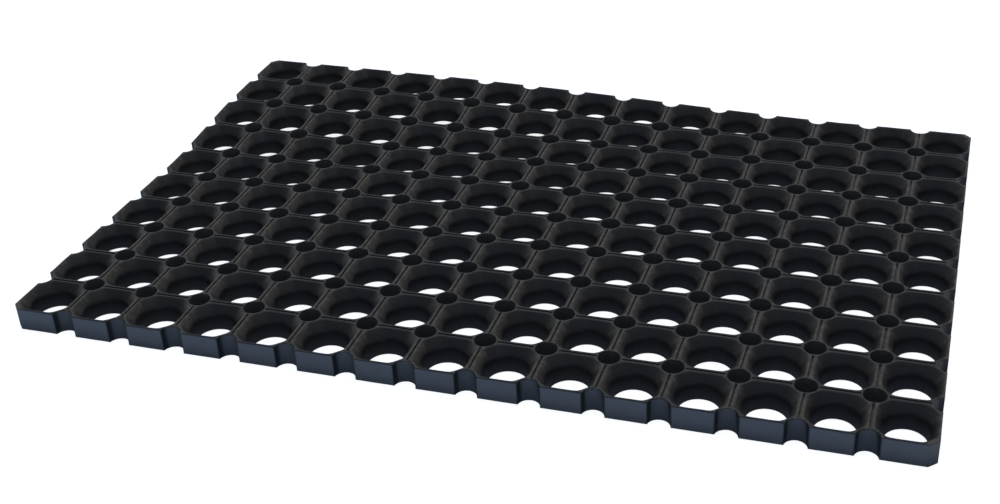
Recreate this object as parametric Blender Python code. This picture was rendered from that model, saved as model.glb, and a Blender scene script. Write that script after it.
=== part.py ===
"""Black rubber door mat: one moulded lattice of open cells, nominally 600 x 400 x 16 mm.

The moulding is divided at the flex grooves that run across it from front to back, which makes
fifteen strips of ten cells. Neighbouring strips turn about the floor of the groove between them,
so the mat can be lifted by one end or rolled up. The mat lies on z = 0 with its middle on the
Z axis, its long side along X and its tread up.
"""
import math

import bmesh
import bpy

# Driving dimensions, in metres.
PITCH = 0.040                # from cell to cell, both ways
COLUMNS = 15                 # strips along X
ROWS = 10                    # cells along Y in each strip
THICKNESS = 0.016
GROOVE_WIDTH = 0.0012        # across the flex groove at the tread
GROOVE_DEPTH = 0.002
WORKING_GAP = 0.0003         # left between two strips at the groove's floor
EDGE_INSET = 0.001           # outer wall, inwards from the nominal 600 x 400 mm outline
CORNER_CUT = 0.005           # leg of the chamfer on the mat's four corners
MOUTH_REACH = 0.0178         # cell's centre to a flat of its eight-sided mouth
MOUTH_HALF_FLAT = 0.0105     # half the length of such a flat
FUNNEL_DEPTH = 0.006         # from the tread down to the round bore
BORE_RIM_RADIUS = 0.0143     # where the bore meets the funnel
BORE_FOOT_RADIUS = 0.0127    # at the underside
DRAIN_RADIUS = 0.0071        # small round hole where four cells meet
HOLE_SIDES = 8               # facets standing for a round bore or drain hole

# Heights of the hinge line and of the bore's upper rim.
HINGE_Z = THICKNESS - GROOVE_DEPTH
RIM_Z = THICKNESS - FUNNEL_DEPTH

# Half widths of a strip: at the tread, below the groove, and to an outer wall of the mat.
HALF_PITCH = PITCH / 2
TREAD_HALF = HALF_PITCH - GROOVE_WIDTH / 2
BODY_HALF = HALF_PITCH - WORKING_GAP / 2
OUTER_HALF = HALF_PITCH - EDGE_INSET
END_Y = ROWS * HALF_PITCH - EDGE_INSET


def round_as_facets(radius):
    """Corner radius of the regular polygon that has the same area as a circle."""
    return radius * math.sqrt(2 * math.pi / (HOLE_SIDES * math.sin(2 * math.pi / HOLE_SIDES)))


def clear_scene():
    for old in list(bpy.data.objects):
        bpy.data.objects.remove(old, do_unlink=True)


def rubber_material():
    material = bpy.data.materials.new("black_rubber")
    material.use_nodes = True
    shader = material.node_tree.nodes["Principled BSDF"]
    shader.inputs["Base Color"].default_value = (0.018, 0.018, 0.019, 1.0)
    shader.inputs["Roughness"].default_value = 0.55
    shader.inputs["Metallic"].default_value = 0.0
    return material


def drain_arc(side, node_y, wall_half):
    """Points of the half drain hole cut into one long side at a lattice node, from -Y to +Y.

    The hole's centre is on the nominal boundary of the strip, just outside the wall, so the two
    end points lie where the circle meets the wall. Each point is (x, y, lies on the wall).
    """
    radius = round_as_facets(DRAIN_RADIUS)
    reach = HALF_PITCH - wall_half
    opening = math.sqrt(radius ** 2 - reach ** 2)
    points = [(side * wall_half, node_y - opening, True)]
    for step in range(1, HOLE_SIDES // 2):
        angle = math.pi * (2 * step / HOLE_SIDES - 0.5)
        x = side * (HALF_PITCH - radius * math.cos(angle))
        points.append((x, node_y + radius * math.sin(angle), False))
    points.append((side * wall_half, node_y + opening, True))
    return points


def end_corner(side, end, wall_half, outer):
    """Points at one of a strip's four corners, from its long side towards its end wall.

    A corner of the mat has a plain chamfer. Any other has a quarter of a drain hole, because
    half-round notches run along the mat's front and back edges too.
    """
    if outer:
        return [(side * wall_half, end * (END_Y - CORNER_CUT), True),
                (side * (wall_half - CORNER_CUT), end * END_Y, False)]
    radius = round_as_facets(DRAIN_RADIUS)
    node_y = ROWS * HALF_PITCH
    along_side = math.sqrt(radius ** 2 - (HALF_PITCH - wall_half) ** 2)
    along_end = math.sqrt(radius ** 2 - EDGE_INSET ** 2)
    diagonal = radius * math.sqrt(0.5)
    return [(side * wall_half, end * (node_y - along_side), True),
            (side * (HALF_PITCH - diagonal), end * (node_y - diagonal), False),
            (side * (HALF_PITCH - along_end), end * END_Y, False)]


def side_points(side, wall_half, outer):
    """One long side of a strip from its front corner to its back corner."""
    points = end_corner(side, -1, wall_half, outer)[::-1]
    for row in range(1, ROWS):
        points += drain_arc(side, (row - ROWS / 2) * PITCH, wall_half)
    return points + end_corner(side, 1, wall_half, outer)


def outline(left_half, right_half, left_outer, right_outer):
    """A strip's outline, anticlockwise seen from above."""
    right = side_points(1, right_half, right_outer)
    left = side_points(-1, left_half, left_outer)
    return right + left[::-1]


def cell_loops(bm, cell_y):
    """Three rings of eight vertices: bore at the underside, bore at the rim, mouth at the tread."""
    foot_radius = round_as_facets(BORE_FOOT_RADIUS)
    rim_radius = round_as_facets(BORE_RIM_RADIUS)
    bottom = []
    rim = []
    mouth = []
    for step in range(HOLE_SIDES):
        angle = 2 * math.pi * (step + 0.5) / HOLE_SIDES
        across = math.cos(angle)
        along = math.sin(angle)
        bottom.append(bm.verts.new((foot_radius * across, cell_y + foot_radius * along, 0.0)))
        rim.append(bm.verts.new((rim_radius * across, cell_y + rim_radius * along, RIM_Z)))
        near_x_axis = abs(across) > abs(along)
        reach_x = MOUTH_REACH if near_x_axis else MOUTH_HALF_FLAT
        reach_y = MOUTH_HALF_FLAT if near_x_axis else MOUTH_REACH
        mouth.append(bm.verts.new((math.copysign(reach_x, across),
                                   cell_y + math.copysign(reach_y, along), THICKNESS)))
    return bottom, rim, mouth


def band(bm, lower, upper):
    """Faces between two rings, looking towards the inside of a hole."""
    for i in range(len(lower)):
        j = (i + 1) % len(lower)
        bm.faces.new((lower[j], lower[i], upper[i], upper[j]))


def ring_edges(bm, ring):
    return [bm.edges.get((ring[i - 1], ring[i])) for i in range(len(ring))]


def outer_wall(bm, lower_points, upper_points):
    """The strip's outside, bent inwards above the hinge line where the flex grooves are."""
    lower = [bm.verts.new((x, y, 0.0)) for x, y, _ in lower_points]
    upper = [bm.verts.new((x, y, THICKNESS)) for x, y, _ in upper_points]
    bend = []
    for low, high in zip(lower_points, upper_points):
        leans = low[2] and low[0] != high[0]
        bend.append(bm.verts.new((low[0], low[1], HINGE_Z)) if leans else None)
    for i in range(len(lower)):
        j = (i + 1) % len(lower)
        if bend[i] and bend[j]:
            bm.faces.new((lower[i], lower[j], bend[j], bend[i]))
            bm.faces.new((bend[i], bend[j], upper[j], upper[i]))
        else:
            corners = (lower[i], lower[j], bend[j], upper[j], upper[i], bend[i])
            bm.faces.new([corner for corner in corners if corner])
    return lower, upper


def strip_mesh(name, left_outer, right_outer):
    """One strip of cells, centred on its own middle line."""
    bm = bmesh.new()
    halves = [OUTER_HALF if left_outer else BODY_HALF, OUTER_HALF if right_outer else BODY_HALF]
    tread_halves = [OUTER_HALF if left_outer else TREAD_HALF, OUTER_HALF if right_outer else TREAD_HALF]
    lower, upper = outer_wall(bm, outline(*halves, left_outer, right_outer),
                              outline(*tread_halves, left_outer, right_outer))
    underside = [lower]
    tread = [upper]
    for row in range(ROWS):
        bottom, rim, mouth = cell_loops(bm, (row - (ROWS - 1) / 2) * PITCH)
        band(bm, bottom, rim)
        band(bm, rim, mouth)
        underside.append(bottom)
        tread.append(mouth)
    for rings in (underside, tread):
        edges = [edge for ring in rings for edge in ring_edges(bm, ring)]
        bmesh.ops.triangle_fill(bm, edges=edges, use_beauty=True)
    bmesh.ops.triangulate(bm, faces=bm.faces[:])
    bmesh.ops.recalc_face_normals(bm, faces=bm.faces[:])
    mesh = bpy.data.meshes.new(name)
    bm.to_mesh(mesh)
    bm.free()
    return mesh


def build_mat():
    clear_scene()
    rubber = rubber_material()
    left_end = strip_mesh("strip_left_end", True, False)
    middle = strip_mesh("strip_middle", False, False)
    right_end = strip_mesh("strip_right_end", False, True)
    for mesh in (left_end, middle, right_end):
        mesh.materials.append(rubber)
    for column in range(COLUMNS):
        mesh = left_end if column == 0 else right_end if column == COLUMNS - 1 else middle
        strip = bpy.data.objects.new("cell_strip_%02d" % (column + 1), mesh)
        strip.location.x = (column - (COLUMNS - 1) / 2) * PITCH
        bpy.context.scene.collection.objects.link(strip)


build_mat()
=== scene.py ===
"""Looks for the moulded rubber door mat: its fine lattice, material, light and camera.

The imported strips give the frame. The rubber that shows is one lattice cut along the middle lines
of the strips, so each piece holds one flex groove in its middle and bends over that groove.
"""
import math

import bmesh
import bpy
import numpy as np
from mathutils import Matrix, Vector
from mathutils.noise import noise_vector, seed_set


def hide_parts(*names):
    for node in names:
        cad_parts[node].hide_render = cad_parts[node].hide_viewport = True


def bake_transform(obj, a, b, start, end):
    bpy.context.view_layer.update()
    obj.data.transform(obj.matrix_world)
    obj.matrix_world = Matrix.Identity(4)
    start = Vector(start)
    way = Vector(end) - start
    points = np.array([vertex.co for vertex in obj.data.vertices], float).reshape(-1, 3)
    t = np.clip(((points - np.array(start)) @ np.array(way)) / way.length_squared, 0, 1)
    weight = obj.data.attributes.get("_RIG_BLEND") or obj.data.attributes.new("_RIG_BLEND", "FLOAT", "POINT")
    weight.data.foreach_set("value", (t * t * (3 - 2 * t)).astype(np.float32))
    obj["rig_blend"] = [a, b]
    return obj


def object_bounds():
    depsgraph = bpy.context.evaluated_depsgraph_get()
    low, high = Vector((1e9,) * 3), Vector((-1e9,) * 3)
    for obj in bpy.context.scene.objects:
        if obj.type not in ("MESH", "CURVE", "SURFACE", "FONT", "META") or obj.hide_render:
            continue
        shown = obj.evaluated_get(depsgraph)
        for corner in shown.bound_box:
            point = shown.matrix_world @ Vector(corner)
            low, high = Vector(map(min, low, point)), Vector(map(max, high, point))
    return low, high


MM = 0.001

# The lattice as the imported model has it.
PITCH = 40 * MM
COLUMNS = 15
ROWS = 10

# Section through a cell, from the lattice node outwards. Depths are below the tread.
GROOVE_HALF = 0.6 * MM         # half the flex groove's width
GROOVE_FLOOR_HALF = 0.3 * MM
GROOVE_DEPTH = 2.0 * MM
EDGE_INSET = 1.0 * MM          # outer walls, inwards from the outermost lattice nodes
MOUTH_LINE = 2.2 * MM          # from the groove's middle to the flat side of a cell's mouth
MOUTH_CORNER = 9.5 * MM        # along the groove, from the node to the mouth's corner
MOUTH_SHARPNESS = 26           # of the eight corners: the higher, the sharper
GROOVE_ROUND = 0.3 * MM        # rounding of the groove's lips
DRAIN_ROUND = 0.45 * MM        # and of the lips of drain holes and outer walls
MOUTH_ROUND = 0.6 * MM         # and of a cell's mouth
RIM_ROUND = 1.7 * MM           # and of the edge between funnel and bore
RIM_DEPTH = 6.6 * MM           # where the edge between two funnel facets meets the bore
RIM_SCALLOP = 0.4              # how far the rim follows flat facets: 0 is level, 1 is flat facets
BORE_RADIUS = 14.3 * MM
BORE_FOOT_RADIUS = 12.7 * MM   # the bore narrows a little towards the floor
DRAIN_RADIUS = 7.1 * MM
RING_RADIUS = 8.1 * MM         # outside of the lip round a drain hole
CORNER_LEG = 5.0 * MM          # chamfer on the mat's own corners

# Divisions of one eighth of the pattern round a node.
FLAT_SHARES = (0.0, 0.35, 0.65, 0.85)  # from the middle of a mouth's flat side towards its crease
CORNER_SHARES = (0.0, 0.45, 1.0)       # from the crease to the diagonal
FLAT_STEPS = len(FLAT_SHARES)
DRAIN_ANGLES = (18, 31.5, 45)  # degrees from the groove, where the drain hole's outline has points
CHAMFER_START = 8              # the angle that stands for the near end of the mat's chamfer
ROUND_SHARES = (0.0, 0.3, 0.7, 1.0)    # points along a rounding
GROOVE_FILLET = ((0.35, 0.86), (1.0, 1.0))     # (share of the lean, share of the depth)

# Wear and painted fill: 1 where shoes rub the rubber, 0 on a plain surface and -1 where dust and bloom stay
# and painted fill light lifts the shade of drain holes, grooves and outer walls.
RUBBED_EDGE = 1.0
RUBBED_TREAD = 0.8
BELOW_EDGE = 0.2
BELOW_LIP = 0.25
RIM_EDGE = 0.3
ABOVE_RIM = 0.1
PLAIN = 0.0
BORE_FOOT = -0.7
GROOVE = -1.0
OUTER_WALL = -1.0
HOLLOW = {"inner": -0.72, "edge": 0.0, "corner": -0.8}   # drain holes, notches, the mat's corners: their dust, bloom and painted fill light

HOLLOW_DEPTH = 1.2 * MM          # below this the drain holes and outer walls have their full dust, bloom and painted fill light
PAINTED_LIGHT_DEPTH = 6.5 * MM         # how far down the side facets below the ridges along Y get painted light
DRAIN_LIP_WIDTH = 2.0 * MM     # over which the lighter band round a drain hole's lip fades
X_RIDGE_PAINTED_SHADE = 0.7          # painted shade: share of the lighter rubbed colour taken off the ridges along X

MERGE_DISTANCE = 0.004 * MM    # points closer than this become one
SHARP_ANGLE = 50               # degrees between two faces, from which their edge stays sharp
BEND_REACH = 12 * MM           # to either side of a groove, over which the rubber bends

HALF = PITCH / 2
CREASE_ANGLE = math.atan2(HALF - MOUTH_CORNER, HALF - MOUTH_LINE)   # seen from the cell's middle

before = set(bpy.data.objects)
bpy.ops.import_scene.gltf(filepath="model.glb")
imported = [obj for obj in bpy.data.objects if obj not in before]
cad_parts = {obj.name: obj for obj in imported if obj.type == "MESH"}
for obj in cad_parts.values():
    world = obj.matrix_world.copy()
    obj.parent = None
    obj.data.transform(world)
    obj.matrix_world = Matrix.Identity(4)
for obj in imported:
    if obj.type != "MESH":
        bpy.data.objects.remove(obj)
cad_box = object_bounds()
THICKNESS = cad_box[1][2] - cad_box[0][2]


# ---------------------------------------------------------------------------------------------
# One eighth of the pattern round a lattice node: u runs along a groove, v across it, 0 <= v <= u
# ---------------------------------------------------------------------------------------------

class Octant:
    """Points (u, v, depth, wear) and faces of one eighth of the pattern."""

    def __init__(self):
        self.points = []
        self.faces = []

    def chain(self, points):
        """Adds a row of points and gives their numbers."""
        first = len(self.points)
        self.points.extend(points)
        return list(range(first, first + len(points)))

    def strip(self, one, other):
        """Quads between two chains of the same length."""
        for i in range(len(one) - 1):
            self.faces.append((one[i], one[i + 1], other[i + 1], other[i]))


def rounding(before, corner, after):
    """Points of the quadratic curve that replaces a corner."""
    return [tuple((1 - share) ** 2 * a + 2 * share * (1 - share) * b + share ** 2 * c
                  for a, b, c in zip(before, corner, after)) for share in ROUND_SHARES]


def ray_points():
    """Mouth points and ray angles, from the middle of a flat side to the diagonal."""
    angles = [CREASE_ANGLE * share for share in FLAT_SHARES]
    angles += [CREASE_ANGLE + (math.pi / 4 - CREASE_ANGLE) * share for share in CORNER_SHARES]
    mouth = []
    for angle in angles:
        to_flat = (HALF - MOUTH_LINE) / math.cos(angle)
        to_corner = (2 * HALF - MOUTH_LINE - MOUTH_CORNER) / (math.sin(angle) + math.cos(angle))
        inverse = to_flat ** -MOUTH_SHARPNESS + to_corner ** -MOUTH_SHARPNESS
        reach = inverse ** (-1 / MOUTH_SHARPNESS)
        mouth.append((HALF - reach * math.sin(angle), HALF - reach * math.cos(angle)))
    return angles, mouth


def rim_depth(u, v, flat):
    """Depth of the rim below the tread at (u, v), where a funnel facet meets the bore."""
    edge_u, edge_v = on_bore(CREASE_ANGLE, BORE_RADIUS)
    corner_sum = MOUTH_LINE + MOUTH_CORNER
    if flat:
        share = (v - MOUTH_LINE) / (edge_v - MOUTH_LINE)
    else:
        share = (u + v - corner_sum) / (edge_u + edge_v - corner_sum)
    return RIM_DEPTH * (1 - RIM_SCALLOP * (1 - share))


def on_bore(angle, radius):
    return HALF - radius * math.sin(angle), HALF - radius * math.cos(angle)


def cell_side(octant):
    """Bore, rim and funnel with the mouth's rounding. Gives the chains at the floor and tread."""
    angles, mouth = ray_points()
    profiles = []
    for i, (angle, (mouth_u, mouth_v)) in enumerate(zip(angles, mouth)):
        rim_u, rim_v = on_bore(angle, BORE_RADIUS)
        depth = rim_depth(rim_u, rim_v, i <= FLAT_STEPS)
        run_u = mouth_u - rim_u
        run_v = mouth_v - rim_v
        slope = math.hypot(run_u, run_v, depth)
        up = RIM_ROUND / slope
        down = MOUTH_ROUND / slope
        out = MOUTH_ROUND / math.hypot(run_u, run_v)
        rim = rounding((rim_u, rim_v, depth + RIM_ROUND, PLAIN), (rim_u, rim_v, depth, RIM_EDGE),
                       (rim_u + run_u * up, rim_v + run_v * up, depth * (1 - up), ABOVE_RIM))
        lip = rounding((mouth_u - run_u * down, mouth_v - run_v * down, depth * down, BELOW_LIP),
                       (mouth_u, mouth_v, 0.0, RUBBED_EDGE),
                       (mouth_u + run_u * out, mouth_v + run_v * out, 0.0, RUBBED_TREAD))
        profiles.append([(*on_bore(angle, BORE_FOOT_RADIUS), THICKNESS, BORE_FOOT)] + rim + lip)
    chains = [octant.chain(ring) for ring in zip(*profiles)]
    for one, other in zip(chains, chains[1:]):
        octant.strip(one, other)
    return chains[0], chains[-1]


def wall_distance(kind):
    """From the node's middle line to the side of the groove, or to the mat's outer wall."""
    return GROOVE_HALF if kind == "inner" else EDGE_INSET


def drain_outline(kind, offset):
    """Outline of the drain hole, or of the mat's chamfer, moved into the rubber by offset."""
    wall = wall_distance(kind) + offset
    if kind == "corner":
        corner_sum = 2 * EDGE_INSET + CORNER_LEG + 2 * offset / math.sqrt(2)
        start = (corner_sum - wall, wall)
        middle = (corner_sum / 2, corner_sum / 2)
        shares = [(angle - CHAMFER_START) / (45 - CHAMFER_START) for angle in DRAIN_ANGLES]
        return [start] + [(start[0] + (middle[0] - start[0]) * share,
                           start[1] + (middle[1] - start[1]) * share) for share in shares]
    radius = DRAIN_RADIUS + offset
    points = [(math.sqrt(radius ** 2 - wall ** 2), wall)]
    for angle in DRAIN_ANGLES:
        turn = math.radians(angle)
        points.append((radius * math.cos(turn), radius * math.sin(turn)))
    if kind == "inner":
        points.insert(0, (radius, 0.0))
    return points


def wall_line(kind, mouth, offset):
    """Line along the groove's or the outer wall's edge, from mid-cell to the ring's lip."""
    wall = wall_distance(kind) + offset
    ring = RING_RADIUS - offset
    return [(u, wall) for u, _ in mouth[:FLAT_STEPS]] + [(math.sqrt(ring ** 2 - wall ** 2), wall)]


def edge_stations(round_off):
    """(offset into the rubber, depth, wear) over a rounded top edge."""
    return rounding((round_off, 0.0, RUBBED_TREAD), (0.0, 0.0, RUBBED_EDGE),
                    (0.0, round_off, BELOW_EDGE))


def level(octant, outline, depth, wear_and_fill):
    """A chain of points that all lie at one depth."""
    return octant.chain([(u, v, depth, wear_and_fill) for u, v in outline])


def build_octant(kind):
    """kind is inner (a groove runs along u), edge (the mat's outer wall does) or corner."""
    octant = Octant()
    foot, lip_top = cell_side(octant)
    _, mouth = ray_points()
    lines = []
    holes = []
    for offset, depth, wear_and_fill in edge_stations(GROOVE_ROUND if kind == "inner" else DRAIN_ROUND):
        line = [(u, v, depth, wear_and_fill) for u, v in wall_line(kind, mouth, offset)]
        if kind == "inner":
            line.append((RING_RADIUS - offset, 0.0, depth, wear_and_fill))
        lines.append(octant.chain(line))
    for offset, depth, wear_and_fill in edge_stations(DRAIN_ROUND):
        holes.append(level(octant, drain_outline(kind, offset), depth, wear_and_fill))
    for one, other in zip(lines, lines[1:]):
        octant.strip(one, other)
    for one, other in zip(holes, holes[1:]):
        octant.strip(one, other)
    hole = drain_outline(kind, 0.0)
    hole_wall = level(octant, hole, HOLLOW_DEPTH, HOLLOW[kind])
    hole_foot = level(octant, hole, THICKNESS, HOLLOW[kind])
    octant.strip(holes[-1], hole_wall)
    octant.strip(hole_wall, hole_foot)

    # Tread between the mouth's lip, the groove and the drain hole.
    ring = holes[0][1:] if kind == "inner" else holes[0]
    octant.strip(lip_top[:FLAT_STEPS + 1], lines[0][:FLAT_STEPS + 1])
    octant.faces.append((lip_top[FLAT_STEPS], ring[1], ring[0], lines[0][FLAT_STEPS]))
    octant.strip(lip_top[FLAT_STEPS:], ring[1:])
    if kind == "inner":
        octant.faces.append((lines[0][FLAT_STEPS], ring[0], holes[0][0], lines[0][FLAT_STEPS + 1]))
        close_groove(octant, mouth, lines[-1])
        under = octant.chain([(u, 0.0, THICKNESS, PLAIN) for u, _ in mouth[:FLAT_STEPS]])
        under.append(hole_foot[0])
        rest = hole_foot[1:]
    else:
        for i in range(len(lines) - 1):
            octant.faces.append((lines[i][-1], holes[i][0], holes[i + 1][0], lines[i + 1][-1]))
        edge = wall_line(kind, mouth, 0.0)
        wall = level(octant, edge, HOLLOW_DEPTH, OUTER_WALL)
        under = level(octant, edge, THICKNESS, OUTER_WALL)
        octant.strip(lines[-1], wall)
        octant.strip(wall, under)
        octant.faces.append((lines[-1][-1], holes[-1][0], hole_wall[0], wall[-1]))
        octant.faces.append((wall[-1], hole_wall[0], hole_foot[0], under[-1]))
        rest = hole_foot

    # Underside.
    octant.strip(foot[:FLAT_STEPS + 1], under)
    octant.faces.append((foot[FLAT_STEPS], under[-1], rest[0]))
    octant.faces.append((foot[FLAT_STEPS], rest[0], rest[1]))
    octant.strip(foot[FLAT_STEPS:], rest[1:])
    return octant


def close_groove(octant, mouth, top_line):
    """Walls, filleted floor and end of the groove below its rounded edges."""
    previous = top_line
    lean = GROOVE_HALF - GROOVE_FLOOR_HALF
    for share_in, share_down in GROOVE_FILLET:
        inset = lean * share_in
        depth = GROOVE_DEPTH * share_down
        half = GROOVE_HALF - inset
        end = math.sqrt((RING_RADIUS + inset) ** 2 - half ** 2)
        line = [(u, half) for u, _ in mouth[:FLAT_STEPS]]
        line += [(end, half), (RING_RADIUS + inset, 0.0)]
        current = level(octant, line, depth, GROOVE)
        octant.strip(previous, current)
        previous = current
    middle = octant.chain([(u, 0.0, GROOVE_DEPTH, GROOVE) for u, _ in mouth[:FLAT_STEPS]])
    octant.strip(previous[:FLAT_STEPS], middle)
    octant.faces.append((previous[FLAT_STEPS - 1], previous[FLAT_STEPS],
                         previous[FLAT_STEPS + 1], middle[-1]))


# ---------------------------------------------------------------------------------------------
# The lattice, piece by piece
# ---------------------------------------------------------------------------------------------

LAYERS = ("wear_and_fill", "painted_light")     # numbers that each vertex carries to the material


def octant_kind(on_wall, column, row):
    if column in (0, COLUMNS) and row in (0, ROWS):
        return "corner"
    return "edge" if on_wall else "inner"


def add_octant(bm, layers, octant, node, signs, swap):
    """Swapped, an octant's groove runs along Y. The side facets below those ridges get painted light, and
    the drains' lips a lighter band.
    """
    wear_and_fill_layer, painted_light_layer = layers
    verts = []
    for u, v, depth, wear_and_fill in octant.points:
        x, y = (v, u) if swap else (u, v)
        vert = bm.verts.new((node[0] + signs[0] * x, node[1] + signs[1] * y, THICKNESS - depth))
        beside_groove = 1 - v / u
        beside_drain = max(0.0, 1 - (math.hypot(u, v) - DRAIN_RADIUS) / DRAIN_LIP_WIDTH)
        # painted light: lighter colour on the side facets below the ridges along Y, standing for the light
        # they catch, and a lighter band round the drain holes' lips
        painted_light = beside_drain * max(0.0, 1 - depth / HOLLOW_DEPTH)
        if swap:
            painted_light = max(painted_light, beside_groove * max(0.0, 1 - depth / PAINTED_LIGHT_DEPTH))
        # painted shade: the ridges along X keep less of the lighter rubbed colour
        elif wear_and_fill > 0:
            wear_and_fill *= 1 - X_RIDGE_PAINTED_SHADE * beside_groove
        vert[painted_light_layer] = painted_light
        vert[wear_and_fill_layer] = wear_and_fill
        verts.append(vert)
    for face in octant.faces:
        bm.faces.new([verts[i] for i in face])


def lattice_piece(name, columns):
    """Rubber round the lattice nodes of the given node columns, cut at the cells' middle lines."""
    bm = bmesh.new()
    for key in LAYERS:
        bm.verts.layers.float.new(key)
    # Only now, because each new layer makes the handles of the earlier ones invalid.
    layers = [bm.verts.layers.float[key] for key in LAYERS]
    octants = {kind: build_octant(kind) for kind in ("inner", "edge", "corner")}
    for column in columns:
        for row in range(ROWS + 1):
            node = ((column - COLUMNS / 2) * PITCH, (row - ROWS / 2) * PITCH)
            along_x = octants[octant_kind(row in (0, ROWS), column, row)]
            along_y = octants[octant_kind(column in (0, COLUMNS), column, row)]
            for side in (-1, 1):
                for way in (-1, 1):
                    cell_column = column + (side - 1) / 2
                    cell_row = row + (way - 1) / 2
                    if 0 <= cell_column < COLUMNS and 0 <= cell_row < ROWS:
                        add_octant(bm, layers, along_x, node, (side, way), False)
                        add_octant(bm, layers, along_y, node, (side, way), True)
    bmesh.ops.remove_doubles(bm, verts=bm.verts[:], dist=MERGE_DISTANCE)
    open_edges = [edge for edge in bm.edges if edge.is_boundary]
    bmesh.ops.holes_fill(bm, edges=open_edges, sides=0)
    bmesh.ops.recalc_face_normals(bm, faces=bm.faces[:])
    mesh = bpy.data.meshes.new(name)
    bm.to_mesh(mesh)
    bm.free()
    piece = bpy.data.objects.new(name, mesh)
    bpy.context.scene.collection.objects.link(piece)
    return piece


# The mat was stored rolled, so its back left corner stays up a little.
CURL_HEIGHT = 24.0 * MM        # height that the corner would have if the slope went on
CURL_LIMIT = 10.3 * MM         # height at which it levels out
CURL_ALONG_BACK = 500 * MM     # how far the curl reaches along the back edge
CURL_ALONG_LEFT = 185 * MM     # and along the left edge
CURL_POWER = 1.4
CURL_LEVELLING = 3             # sharpness of the change from slope to level


def curl(x, y):
    """Height of the curled back left corner above the floor."""
    from_left = x + COLUMNS * HALF
    from_back = ROWS * HALF - y
    share = np.clip(1 - from_left / CURL_ALONG_BACK - from_back / CURL_ALONG_LEFT, 0, None)
    slope = CURL_HEIGHT * share ** CURL_POWER
    return slope / (1 + (slope / CURL_LIMIT) ** CURL_LEVELLING) ** (1 / CURL_LEVELLING)


UNEVENNESS = 0.11 * MM         # how far the walls and ridges wander
WANDER_LENGTH = 9.0 * MM
WANDER_SEED = 7                # the noise starts from the clock where no seed is set


def relax(piece):
    """Makes the ridges a little uneven, as soft rubber is, and lifts the curled corner."""
    mesh = piece.data
    co = np.empty(len(mesh.vertices) * 3)
    mesh.vertices.foreach_get("co", co)
    co = co.reshape(-1, 3)
    wander = np.array([noise_vector(Vector(point) / WANDER_LENGTH) for point in co.tolist()])
    wander[:, 2] *= co[:, 2] / THICKNESS
    co += UNEVENNESS * wander
    co[:, 2] += curl(co[:, 0], co[:, 1])
    mesh.vertices.foreach_set("co", co.ravel())
    mesh.update()


# ---------------------------------------------------------------------------------------------
# Material
# ---------------------------------------------------------------------------------------------

def set_or_link(tree, socket, value):
    if isinstance(value, bpy.types.NodeSocket):
        tree.links.new(value, socket)
    else:
        socket.default_value = value


def add_node(tree, kind, **inputs):
    """A node with some of its inputs set: a value, or another node's output socket."""
    node = tree.nodes.new(kind)
    for name, value in inputs.items():
        set_or_link(tree, node.inputs[name], value)
    return node


def noise(tree, place, scale, detail, roughness):
    node = add_node(tree, "ShaderNodeTexNoise", Vector=place, Scale=scale, Detail=detail,
                    Roughness=roughness)
    return node.outputs["Fac"]


def spread(tree, value, low, high, to_low=0.0, to_high=1.0):
    """Maps low..high to to_low..to_high, clamped."""
    node = tree.nodes.new("ShaderNodeMapRange")
    tree.links.new(value, node.inputs["Value"])
    names = ("From Min", "From Max", "To Min", "To Max")
    for name, number in zip(names, (low, high, to_low, to_high)):
        node.inputs[name].default_value = number
    return node.outputs["Result"]


def math_node(tree, operation, one, two):
    node = tree.nodes.new("ShaderNodeMath")
    node.operation = operation
    for socket, value in zip(node.inputs, (one, two)):
        set_or_link(tree, socket, value)
    return node.outputs["Value"]


def attribute(tree, name):
    node = tree.nodes.new("ShaderNodeAttribute")
    node.attribute_name = name
    return node.outputs["Fac"]


def blend_colours(tree, share, one, two):
    """From colour one to colour two. Two is given as red, green and blue."""
    node = tree.nodes.new("ShaderNodeMix")
    node.data_type = "RGBA"
    tree.links.new(share, node.inputs["Factor"])
    colours = [socket for socket in node.inputs if socket.type == "RGBA"]
    set_or_link(tree, colours[0], one)
    set_or_link(tree, colours[1], (*two, 1.0))
    return next(socket for socket in node.outputs if socket.type == "RGBA")


BLACK_RUBBER = (0.0105, 0.0108, 0.0115, 1.0)
BROWN_RUBBER = (0.0160, 0.0137, 0.0118)
RUBBED_RUBBER = (0.028, 0.0262, 0.0246)
DUST = (0.060, 0.056, 0.050)
# Dust and bloom, and painted fill light that lifts the shade of drain holes, grooves and outer walls.
BLOOM_AND_FILL = (0.100, 0.098, 0.096)
# Painted light: warm tan for the light that the side facets below the ridges along Y catch.
PAINTED_LIGHT = (0.112, 0.094, 0.074)

# Noises as (features in a metre, detail, roughness).
MOTTLE = (38.0, 4.0, 0.55)
SWIRL = (150.0, 5.0, 0.65)
STREAK = (300.0, 4.0, 0.6)
FLECK = (420.0, 3.0, 0.55)
GRAIN = (2600.0, 2.0, 0.55)
GRAIN_HEIGHT = 0.35            # of the relief, where a fleck's is 1
SWIRL_HEIGHT = 2.2


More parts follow.
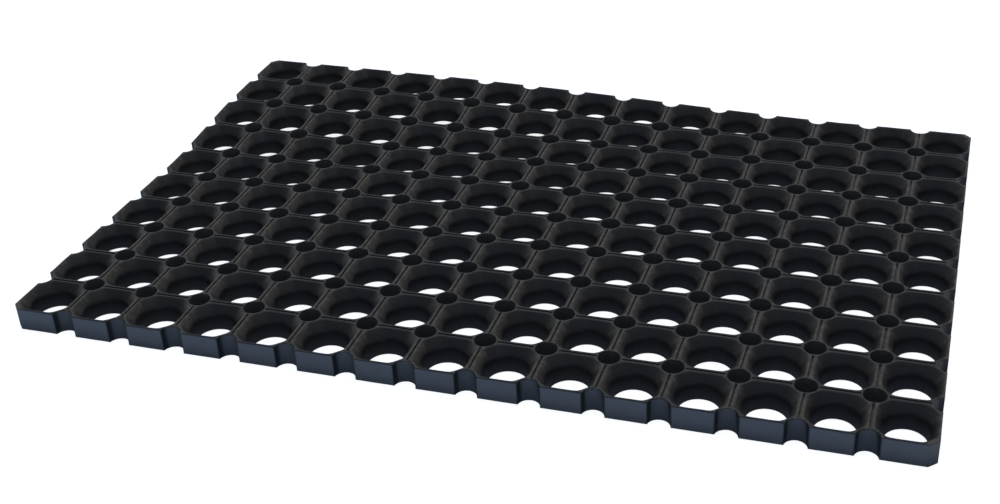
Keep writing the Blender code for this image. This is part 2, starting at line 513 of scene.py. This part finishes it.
def rubber_material():
    """Matt black moulded rubber: mottled bloom, fine grain, rubbed lips and a little dust, with painted fill
    light in the holes, grooves and walls, painted light on the side facets below the ridges along Y and
    painted shade on the ridges along X.
    """
    material = bpy.data.materials.new("moulded_rubber")
    material.use_nodes = True
    tree = material.node_tree
    shader = tree.nodes["Principled BSDF"]
    place = tree.nodes.new("ShaderNodeTexCoord").outputs["Object"]
    wear_and_fill = attribute(tree, "wear_and_fill")
    rubbed = spread(tree, wear_and_fill, 0.0, 1.0)
    bloom_and_fill = spread(tree, wear_and_fill, 0.0, -1.0)
    normal = tree.nodes.new("ShaderNodeNewGeometry").outputs["Normal"]
    facing_up = add_node(tree, "ShaderNodeSeparateXYZ", Vector=normal).outputs["Z"]

    mottle = noise(tree, place, *MOTTLE)
    fleck = noise(tree, place, *FLECK)
    grain = noise(tree, place, *GRAIN)
    swirl = noise(tree, place, *SWIRL)
    streak = noise(tree, place, *STREAK)

    brown = spread(tree, mottle, 0.38, 0.64)
    colour = blend_colours(tree, brown, BLACK_RUBBER, BROWN_RUBBER)
    # Dust and bloom in the hollows, with painted fill light that lifts their shade.
    colour = blend_colours(tree, bloom_and_fill, colour, BLOOM_AND_FILL)
    rubbed = math_node(tree, "MULTIPLY", rubbed, spread(tree, fleck, 0.30, 0.62, 0.25, 1.0))
    colour = blend_colours(tree, rubbed, colour, RUBBED_RUBBER)
    # Painted light on the side facets below the ridges along Y and round the drain lips, made ragged by a
    # streak noise.
    ragged_light = math_node(tree, "ADD", attribute(tree, "painted_light"),
                       spread(tree, streak, 0.32, 0.68, -0.6, 0.6))
    colour = blend_colours(tree, spread(tree, ragged_light, 0.65, 1.2, 0.0, 0.7), colour, PAINTED_LIGHT)
    settled = math_node(tree, "MULTIPLY", spread(tree, facing_up, 0.25, 0.95),
                        spread(tree, swirl, 0.50, 0.74, 0.0, 0.22))
    colour = blend_colours(tree, settled, colour, DUST)
    tree.links.new(colour, shader.inputs["Base Color"])

    rough = spread(tree, swirl, 0.3, 0.7, 0.40, 0.56)
    rough = math_node(tree, "ADD", rough, spread(tree, fleck, 0.3, 0.7, -0.04, 0.05))
    tree.links.new(rough, shader.inputs["Roughness"])

    fine = math_node(tree, "MULTIPLY", grain, GRAIN_HEIGHT)
    height = math_node(tree, "ADD", fine, fleck)
    height = math_node(tree, "ADD", height, math_node(tree, "MULTIPLY", swirl, SWIRL_HEIGHT))
    bump = add_node(tree, "ShaderNodeBump", Height=height, Strength=0.35, Distance=0.2 * MM)
    tree.links.new(bump.outputs["Normal"], shader.inputs["Normal"])
    return material


FLOOR_BOUNCE = (0.42, 0.50, 0.70)
FLOOR_GLOW = 0.9
FLOOR_HALF = 6.0               # half the floor's side, in metres
FLOOR_DROP = 0.4 * MM          # below the mat's underside, so that no two faces coincide


def floor_material():
    """Pale floor. It glows for the camera, so that it stays pale inside the cells' shadow."""
    material = bpy.data.materials.new("pale_floor")
    material.use_nodes = True
    tree = material.node_tree
    shader = tree.nodes["Principled BSDF"]
    shader.inputs["Base Color"].default_value = (*FLOOR_BOUNCE, 1)
    shader.inputs["Roughness"].default_value = 0.9
    shader.inputs["Specular IOR Level"].default_value = 0.0
    shader.inputs["Emission Color"].default_value = (1, 1, 1, 1)
    seen = tree.nodes.new("ShaderNodeLightPath").outputs["Is Camera Ray"]
    tree.links.new(math_node(tree, "MULTIPLY", seen, FLOOR_GLOW), shader.inputs["Emission Strength"])
    return material


# ---------------------------------------------------------------------------------------------
# Stage, light and camera
# ---------------------------------------------------------------------------------------------

def make_floor():
    mesh = bpy.data.meshes.new("floor")
    corners = [(x * FLOOR_HALF, y * FLOOR_HALF, 0) for x, y in ((-1, -1), (1, -1), (1, 1), (-1, 1))]
    mesh.from_pydata(corners, [], [(0, 1, 2, 3)])
    mesh.materials.append(floor_material())
    floor = bpy.data.objects.new("floor", mesh)
    floor.location.z = -FLOOR_DROP
    bpy.context.scene.collection.objects.link(floor)


def area_light(name, place, aim, size, power, colour):
    light = bpy.data.lights.new(name, "AREA")
    light.shape = "RECTANGLE"
    light.size, light.size_y = size
    light.energy = power
    light.color = colour
    lamp = bpy.data.objects.new(name, light)
    lamp.location = place
    lamp.visible_camera = False
    lamp.rotation_euler = (Vector(aim) - Vector(place)).to_track_quat("-Z", "Y").to_euler()
    bpy.context.scene.collection.objects.link(lamp)


CAMERA_ANGLES = (17.83, 30.69, -2.34)          # azimuth, elevation and roll in degrees
CAMERA_PLACE = (0.2861, -0.8566, 0.5057)       # the last is above the tread
CAMERA_LENS = 51.66
CAMERA_SHIFT = (-0.0454, -0.0023)


def make_camera():
    """Three-quarter view from the front right, a little rolled, as hand-held."""
    azimuth, elevation, roll = (math.radians(angle) for angle in CAMERA_ANGLES)
    back = Vector((math.sin(azimuth) * math.cos(elevation),
                   -math.cos(azimuth) * math.cos(elevation), math.sin(elevation)))
    right = (-back).cross(Vector((0, 0, 1))).normalized()
    up = right.cross(-back)
    tilted_right = math.cos(roll) * right + math.sin(roll) * up
    tilted_up = math.cos(roll) * up - math.sin(roll) * right
    data = bpy.data.cameras.new("camera")
    data.lens = CAMERA_LENS
    data.shift_x, data.shift_y = CAMERA_SHIFT
    camera = bpy.data.objects.new("camera", data)
    turn = Matrix((tilted_right, tilted_up, back)).transposed().to_4x4()
    camera.matrix_world = Matrix.Translation((*CAMERA_PLACE[:2], CAMERA_PLACE[2] + THICKNESS)) @ turn
    bpy.context.scene.collection.objects.link(camera)
    bpy.context.scene.camera = camera


ROOM = (0.176, 0.206, 0.238)
COOL = (0.52, 0.70, 1.0)
WARM = (1.0, 0.93, 0.87)

# Name, axis and side of the mat's outer wall, watts for each square metre, colour.
CARDS = (("front", 1, -1, 1.4, COOL), ("back", 1, 1, 1.4, COOL),
         ("left", 0, -1, 1.4, COOL), ("right", 0, 1, 0.9, WARM))
CARD_WIDTH = 0.45
CARD_GAP = 7.0 * MM            # from the outer wall to the card
CARD_RISE = 0.3 * MM           # above the mat's underside

# Name, place, width and height, watts, colour. All of them aim at the mat's middle.
LAMPS = (("top", (0, 0, 2.2), (1.6, 1.6), 8.5, (1.0, 1.0, 1.0)),
         ("back", (-0.2, 1.8, 1.3), (3.0, 1.0), 7.4, (1.0, 0.98, 0.98)),
         ("back_left", (-2.0, 0.8, 0.4), (2.0, 0.6), 3.9, (1.0, 1.0, 1.0)),
         ("back_right", (1.6, 1.6, 0.6), (1.6, 0.8), 3.5, (1.0, 0.92, 0.88)),
         ("front", (0.3, -1.9, 0.3), (3.0, 0.5), 4.0, (0.25, 0.5, 1.0)))


def make_world():
    """An even, slightly cool room."""
    world = bpy.data.worlds.new("studio")
    world.use_nodes = True
    world.node_tree.nodes["Background"].inputs["Color"].default_value = (*ROOM, 1)
    bpy.context.scene.world = world


def floor_cards():
    """Glowing cards on the floor beside the mat, which light its outer walls from below."""
    low, high = cad_box
    height = low[2] + CARD_RISE
    for name, axis, side, power, colour in CARDS:
        size = [high[0] - low[0] + CARD_WIDTH, high[1] - low[1] + CARD_WIDTH]
        size[axis] = CARD_WIDTH
        place = [0.0, 0.0, height]
        place[axis] = side * (high[axis] + CARD_GAP + CARD_WIDTH / 2)
        area_light("floor_card_" + name, place, (place[0], place[1], 1), size,
                   power * size[0] * size[1], colour)


def make_light():
    make_world()
    floor_cards()
    for name, place, size, power, colour in LAMPS:
        area_light(name, place, (0, 0, 0), size, power, colour)


# ---------------------------------------------------------------------------------------------
# The mat, one piece for each hinge, and the stage
# ---------------------------------------------------------------------------------------------

seed_set(WANDER_SEED)
rubber = rubber_material()
for hinge in range(1, COLUMNS):
    node_columns = [hinge]
    if hinge == 1:
        node_columns.insert(0, 0)
    if hinge == COLUMNS - 1:
        node_columns.append(COLUMNS)
    piece = lattice_piece("rubber_lattice_%02d" % hinge, node_columns)
    relax(piece)
    piece.data.materials.append(rubber)
    piece.data.shade_smooth()
    piece.data.set_sharp_from_angle(angle=math.radians(SHARP_ANGLE))
    middle = (hinge - COLUMNS / 2) * PITCH
    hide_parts("cell_strip_%02d" % hinge)
    if hinge == COLUMNS - 1:
        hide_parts("cell_strip_%02d" % COLUMNS)
    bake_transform(piece, "strip_%02d" % hinge, "strip_%02d" % (hinge + 1),
             (middle - BEND_REACH, 0, 0), (middle + BEND_REACH, 0, 0))

make_floor()
make_light()
make_camera()
bpy.context.scene.view_settings.view_transform = "Standard"
